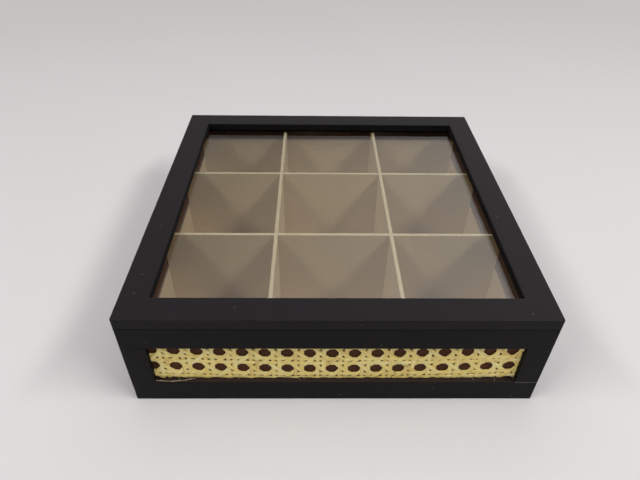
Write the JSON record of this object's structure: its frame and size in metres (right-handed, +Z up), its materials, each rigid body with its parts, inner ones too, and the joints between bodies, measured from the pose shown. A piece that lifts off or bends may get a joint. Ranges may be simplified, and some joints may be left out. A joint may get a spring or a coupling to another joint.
{
  "type": "tea bag organizer box",
  "caption": "Square compartment box for tea bags with a hinged glass lid, half-lapped dividers and a cane webbing window in its front.",
  "frame": {"origin": "middle of the underside, where the box rests", "axes": "+X to the right, +Y to the back where the hinges are, +Z up"},
  "size_m": [0.24, 0.2429, 0.07],
  "materials": {
    "black_paint": "satin black paint on fibreboard",
    "bare_board": "bare brown fibreboard",
    "cane": "natural straw-coloured cane",
    "clear_glass": "clear float glass",
    "hinge_brass": "antique brass"
  },
  "bodies": {
    "case": {"bottom_panel": "bare_board", "left_wall": "black_paint", "right_wall": "black_paint", "rear_wall": "black_paint", "front_wall": "bare_board", "front_bottom_rail": "black_paint", "front_top_rail": "black_paint", "front_left_stile": "black_paint", "front_right_stile": "black_paint", "cane_panel": "cane", "divider_left": "bare_board", "divider_right": "bare_board", "divider_front": "bare_board", "divider_rear": "bare_board", "hinge_left_case_leaf": "hinge_brass", "hinge_left_pin": "hinge_brass", "hinge_right_case_leaf": "hinge_brass", "hinge_right_pin": "hinge_brass", "hinge_case_nails": "hinge_brass"},
    "lid": {"lid_front_rail": "black_paint", "lid_rear_rail": "black_paint", "lid_left_rail": "black_paint", "lid_right_rail": "black_paint", "glass_pane": "clear_glass", "glass_strip_front": "black_paint", "glass_strip_rear": "black_paint", "glass_strip_left": "black_paint", "glass_strip_right": "black_paint", "hinge_left_lid_leaf": "hinge_brass", "hinge_right_lid_leaf": "hinge_brass", "hinge_lid_nails": "hinge_brass"}
  },
  "joints": [
    {"name": "lid_hinge", "type": "hinge", "parent": "case", "child": "lid", "pos_m": [0, 0.1216, 0.06265], "axis": [-1, 0, 0], "range_deg": [0, 180]}
  ]
}
